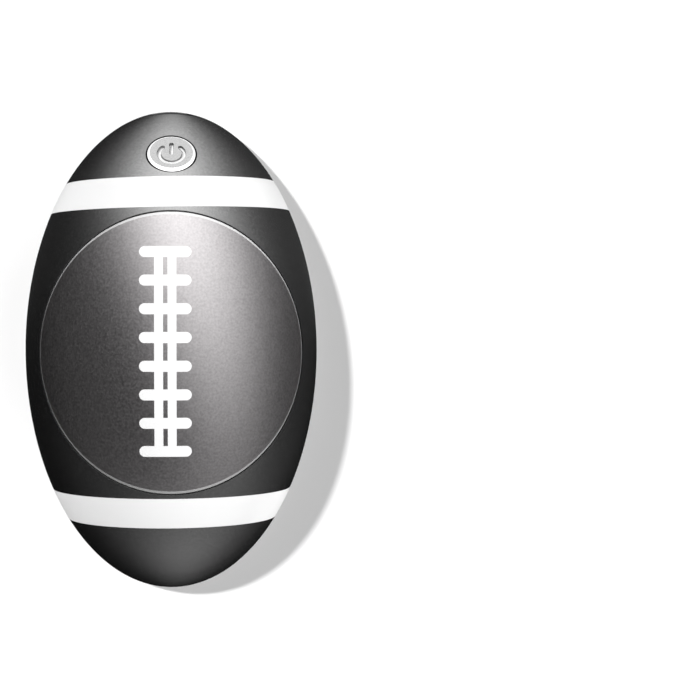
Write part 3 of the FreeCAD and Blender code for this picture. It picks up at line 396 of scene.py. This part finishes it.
# inner pieces and small parts
smallFinishes = {
    # ABS, moulded and sprayed like the shell, a little paler and rougher
    "button_plastic": {
        "name": "flakeLacquerCap", "dark": "888888", "light": "989898", "rough": (0.24, 0.32),
        "grain": 0.4, "relief": 0.004},
    # neodymium discs, nickel plated and tumbled: bright under a pale haze
    "magnet_nickel": {
        "name": "platedNickel", "dark": "c8c7c3", "light": "dcdbd7", "rough": (0.16, 0.26),
        "grain": 0.4, "relief": 0.002, "metal": 0.4},
    # neodymium discs, nickel plated and tumbled, coloured darker than the bright discs: painted shade
    "magnet_dark": {
        "name": "shadedNickel", "dark": "4c4b4a", "light": "5e5d5c", "rough": (0.2, 0.3),
        "grain": 0.4, "relief": 0.002, "metal": 0.4},
    # steel screws, zinc plated
    "screw_steel": {
        "name": "zincSteel", "dark": "a9abae", "light": "c4c6c8", "rough": (0.25, 0.38),
        "grain": 0.5, "relief": 0.004, "metal": 1.0},
    # stainless steel, deep drawn
    "socket_steel": {
        "name": "drawnSteel", "dark": "b4b3af", "light": "cbcac6", "rough": (0.2, 0.32),
        "grain": 0.6, "relief": 0.003, "metal": 1.0},
    # glass epoxy, solder masked
    "circuit_board": {
        "name": "solderMask", "dark": "0d4a2a", "light": "12593a", "rough": (0.28, 0.4),
        "grain": 1.2, "relief": 0.006, "ior": 1.5},
    # epoxy, moulded round the parts
    "component_black": {
        "name": "mouldedEpoxy", "dark": "191919", "light": "242424", "rough": (0.4, 0.55),
        "grain": 0.3, "relief": 0.006, "ior": 1.55},
    # ferrite, pressed and fired
    "ferrite": {
        "name": "firedFerrite", "dark": "35363a", "light": "47484c", "rough": (0.55, 0.7),
        "grain": 0.25, "relief": 0.012, "ior": 1.6},
    # epoxy lens over a white lamp
    "lamp_white": {
        "name": "castLens", "dark": "eceadf", "light": "f4f1dc", "rough": (0.2, 0.3),
        "grain": 0.6, "relief": 0.003, "ior": 1.53},
    # polycarbonate, moulded and polished, clear with a dark tint: painted shade, so the light holes show as
    # dark dots
    "clear_plastic": {
        "name": "shadeTintedPolycarbonate", "dark": "3a3b3d", "light": "454648", "rough": (0.08, 0.16),
        "grain": 0.8, "relief": 0.002, "ior": 1.58, "clear": 1.0},
    # aluminium laminate, folded and sealed
    "pouch_foil": {
        "name": "foilLaminate", "dark": "b3b6ba", "light": "c9ccd0", "rough": (0.3, 0.46),
        "grain": 5.0, "relief": 0.12, "metal": 1.0},
    # ABS, moulded, left as it comes
    "tray_plastic": {
        "name": "mouldedAbs", "dark": "29292b", "light": "353537", "rough": (0.5, 0.62),
        "grain": 0.5, "relief": 0.012, "ior": 1.5},
    # polyethylene foam, cut from sheet: closed cells
    "foam": {
        "name": "cutFoam", "dark": "3c3c3e", "light": "58585b", "rough": (0.8, 0.95),
        "grain": 0.7, "relief": 0.12, "ior": 1.4},
    # acrylic tape, die cut
    "adhesive": {
        "name": "acrylicTape", "dark": "d8d6cc", "light": "e6e4da", "rough": (0.45, 0.6),
        "grain": 0.8, "relief": 0.01, "ior": 1.47},
    # polyimide, laminated over an etched track
    "polyimide_film": {
        "name": "amberPolyimide", "dark": "a85a12", "light": "b8691c", "rough": (0.22, 0.32),
        "grain": 1.5, "relief": 0.006, "ior": 1.7},
    # silicone, extruded round the strands
    "wire_red": {
        "name": "redSilicone", "dark": "a81818", "light": "bd2222", "rough": (0.4, 0.5),
        "grain": 0.6, "relief": 0.006, "ior": 1.42},
    "wire_white": {
        "name": "whiteSilicone", "dark": "dcdad4", "light": "e8e6e0", "rough": (0.4, 0.5),
        "grain": 0.6, "relief": 0.006, "ior": 1.42},
}
for slot, finish in smallFinishes.items():
    looks[slot] = startFinish(finish)

# heater track: lines across the film, as etched foil shows through it
track = {"pitch": 3.0, "line": 1.5, "soft": 0.05, "ink": {"hex": "7c4314", "rough": 0.3}}
look = looks["polyimide_film"]
tree = look["tree"]
y = partsOf(tree, look["place"])[1]
local = calc(tree, "PINGPONG", y, track["pitch"] / 2 * mm)
layInk(look, within(tree, local, track["line"] / 2, track["soft"]), track["ink"])

# board tracks: straight slanting lines, bands of a wave, kept where a coarse noise is high
copper = {
    "waveScale": 348.89,  # sets the bands about 1.3 mm apart on a board that lies flat
    "lineAbove": 0.72, "patch": 6.0, "patchAbove": 0.52,
    "ink": {"hex": "1f7a4c", "rough": 0.32},
}
look = looks["circuit_board"]
tree = look["tree"]
wave = addNode(tree, "ShaderNodeTexWave", {"bands_direction": "DIAGONAL"}, {
    "Vector": look["place"], "Scale": copper["waveScale"], "Distortion": 0.0})
patch = addNode(tree, "ShaderNodeTexNoise", {}, {
    "Vector": look["place"], "Scale": 1 / (copper["patch"] * mm)})
lines = calc(tree, "GREATER_THAN", wave, copper["lineAbove"])
lines = calc(tree, "MULTIPLY", lines, calc(tree, "GREATER_THAN", patch, copper["patchAbove"]))
layInk(look, lines, copper["ink"])

# battery leads: the one on the left has black silicone
blackLead = {"hex": "1b1b1b", "rough": 0.45}
look = looks["wire_red"]
tree = look["tree"]
x = partsOf(tree, look["place"])[0]
layInk(look, calc(tree, "LESS_THAN", x, 0.0), blackLead)

slotOf = {row["node"]: row["material_slot"] for row in frame["record"]["subparts"]}
for name, piece in frame["nodes"].items():
    piece.data.materials.clear()
    piece.data.materials.append(looks[slotOf[name]]["material"])
frame["nodes"]["front_shell"].visible_diffuse = False  # its stripes bounce no light into the floor shadow
print("finishes on", len(slotOf), "pieces")


# button cap: a turned form whose face sinks where the power sign is pressed in
cap = {
    "foot": (0.0, 41.6, 19.02),  # where the button's axis leaves the dome
    "radius": 5.03, "face": -0.311, "faceLean": 0.019, "rim": -0.45, "rimSlope": 15.0, "blend": 0.02,
    "faceAbove": -1.25,  # the face and its sign are higher than this, and the hollow is lower
    # near-white crescent along the lower rim: painted highlight
    "innerRadius": 3.9, "roof": -1.35, "cut": {"hex": "ececec", "rough": 0.3},
    "flangeRadius": 5.7, "flangeTop": -3.25, "flangeUnder": -4.05, "nubRadius": 1.5, "nubEnd": -4.45,
    "ringRadius": 2.57, "gapAngle": 45.0, "barFrom": 0.12, "barTo": 2.7,
    "stroke": 0.82, "depth": 0.5, "depthLean": 0.08, "flank": 0.08,
    "ink": {"hex": "f8f8f8", "rough": 0.42},
    "faceRings": 130, "steps": 384, "crease": 0.03,
}


def capProfile():
    # radius and height along the cap: across its face, down the side, round the flange and in to the nub
    outer, inner, flange, nub = (cap[key] for key in ("radius", "innerRadius", "flangeRadius", "nubRadius"))
    crease = cap["crease"]
    face = np.linspace(0, outer - crease, cap["faceRings"] + 1)[1:]
    # each corner: its radius and height, then the steps to the two points that replace it
    corners = np.array([
        (outer, cap["rim"] - crease, 0, 0, 0, -crease),
        (outer, cap["flangeTop"], 0, crease, crease, 0),
        (flange, cap["flangeTop"], -crease, 0, 0, -crease),
        (flange, cap["flangeUnder"], 0, crease, -crease, 0),
        (inner, cap["flangeUnder"], crease, 0, 0, crease),
        (inner, cap["roof"], 0, -crease, -crease, 0),
        (nub, cap["roof"], crease, 0, 0, -crease),
        (nub, cap["nubEnd"], 0, crease, -crease, 0)])
    rest = np.stack([corners[:, :2] + corners[:, 2:4], corners[:, :2] + corners[:, 4:6]], 1).reshape(-1, 2)
    return np.vstack([np.column_stack([face, np.zeros(face.shape)]), rest])


def faceHeight(aside, upward):
    # a plane that leans a little, cut by a shallow cone along its lower rim, with the crease between blended
    plane = cap["face"] - cap["faceLean"] * upward
    cone = cap["rim"] + (cap["radius"] - np.hypot(aside, upward)) * np.tan(np.radians(cap["rimSlope"]))
    close = np.maximum(cap["blend"] - np.abs(plane - cone), 0)
    return np.minimum(plane, cone) - close ** 2 / (4 * cap["blend"]) - signDepth(aside, upward)


def signDepth(aside, upward):
    # how deep the sign is at a point of the face: distance to a ring open at its top, or to an upright bar
    past = np.maximum(np.radians(cap["gapAngle"]) - np.abs(np.arctan2(aside, upward)), 0) * cap["ringRadius"]
    toRing = np.hypot(past, np.hypot(aside, upward) - cap["ringRadius"])
    toBar = np.hypot(aside, upward - np.clip(upward, cap["barFrom"], cap["barTo"]))
    near = np.minimum(toRing, toBar)
    step = np.clip((cap["stroke"] / 2 + cap["flank"] / 2 - near) / cap["flank"], 0, 1)
    return (cap["depth"] + cap["depthLean"] * upward) * step * step * (3 - 2 * step)


press = frame["record"]["behaviour"]["joints"][0]
axis = -np.array(press["axis"])  # out of the dome, against the way the button is pressed
across = np.array([1.0, 0.0, 0.0])
upFace = np.cross(axis, across)

# white ink on the sign's floor: the same distances, worked along the face's own axes
look = looks["button_plastic"]
tree = look["tree"]
spot = addNode(tree, "ShaderNodeVectorMath", {"operation": "SUBTRACT"}, {
    0: look["place"], 1: (np.array(cap["foot"]) * mm).tolist()})
aside, upward, lift = (
    addNode(tree, "ShaderNodeVectorMath", {"operation": "DOT_PRODUCT"}, {
        0: spot, 1: way.tolist()}).outputs["Value"]
    for way in (across, upFace, axis))
fromTop = calc(tree, "ABSOLUTE", calc(tree, "ARCTAN2", aside, upward))
past = pastEnd(tree, np.radians(cap["gapAngle"]), fromTop)
past = calc(tree, "MULTIPLY", past, cap["ringRadius"] * mm)
radius = flatLength(tree, aside, upward)
toRing = flatLength(tree, past, calc(tree, "SUBTRACT", radius, cap["ringRadius"] * mm))
onBar = addNode(tree, "ShaderNodeClamp", {}, {
    "Value": upward, "Min": cap["barFrom"] * mm, "Max": cap["barTo"] * mm})
toBar = flatLength(tree, aside, calc(tree, "SUBTRACT", upward, onBar))
near = calc(tree, "MINIMUM", toRing, toBar)
inFace = calc(tree, "GREATER_THAN", lift, cap["faceAbove"] * mm)
floor = calc(tree, "LESS_THAN", near, (cap["stroke"] - cap["flank"]) / 2 * mm)
floor = calc(tree, "MULTIPLY", floor, inFace)
# cone along the lower rim, coloured near-white as a painted highlight: the face is the cone where that lies
# below the plane
fall = np.tan(np.radians(cap["rimSlope"]))
coneTop = cap["rim"] + cap["radius"] * fall - cap["face"]
overPlane = calc(tree, "MULTIPLY_ADD", radius, -fall, coneTop * mm)
overPlane = calc(tree, "MULTIPLY_ADD", upward, cap["faceLean"], overPlane)
cut = calc(tree, "MULTIPLY", calc(tree, "LESS_THAN", overPlane, 0.0), inFace)
layInk(look, cut, cap["cut"])
layInk(look, floor, cap["ink"])
setMetal(look, floor)

profile = capProfile()
rings, steps = len(profile), cap["steps"]
around = np.arange(steps) * 2 * np.pi / steps
gridAside = profile[:, :1] * np.cos(around)
gridUpward = profile[:, :1] * np.sin(around)
height = np.repeat(profile[:, 1:], steps, 1)
onTop = slice(cap["faceRings"])
height[onTop] = faceHeight(gridAside[onTop], gridUpward[onTop])
points = np.stack([gridAside, gridUpward, height], -1).reshape(-1, 3)
poles = np.array([[0, 0, faceHeight(0.0, 0.0)], [0, 0, cap["nubEnd"]]])
points = np.vstack([points, poles])
points = np.array(cap["foot"]) + points @ np.stack([across, upFace, axis])
ringNumber, stepNumber = np.meshgrid(np.arange(rings - 1), np.arange(steps), indexing="ij")
here = ringNumber * steps + stepNumber
beside = ringNumber * steps + (stepNumber + 1) % steps
quads = np.stack([here, here + steps, beside + steps, beside], -1).reshape(-1, 4)
spin = np.arange(steps)
top = np.column_stack([np.full(steps, rings * steps), spin, (spin + 1) % steps])
last = (rings - 1) * steps
bottom = np.column_stack([np.full(steps, rings * steps + 1), last + (spin + 1) % steps, last + spin])
capMesh = bpy.data.meshes.new("button_cap")
capMesh.from_pydata((points * mm).tolist(), [], quads.tolist() + top.tolist() + bottom.tolist())
capMesh.polygons.foreach_set("use_smooth", np.ones(len(capMesh.polygons), bool))
capMesh.update()
capPiece = bpy.data.objects.new("button_cap", capMesh)
scene.collection.objects.link(capPiece)
capMesh.materials.append(looks["button_plastic"]["material"])
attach(capPiece, "button")
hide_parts("power_button")
print("button cap made,", len(capMesh.polygons), "faces")
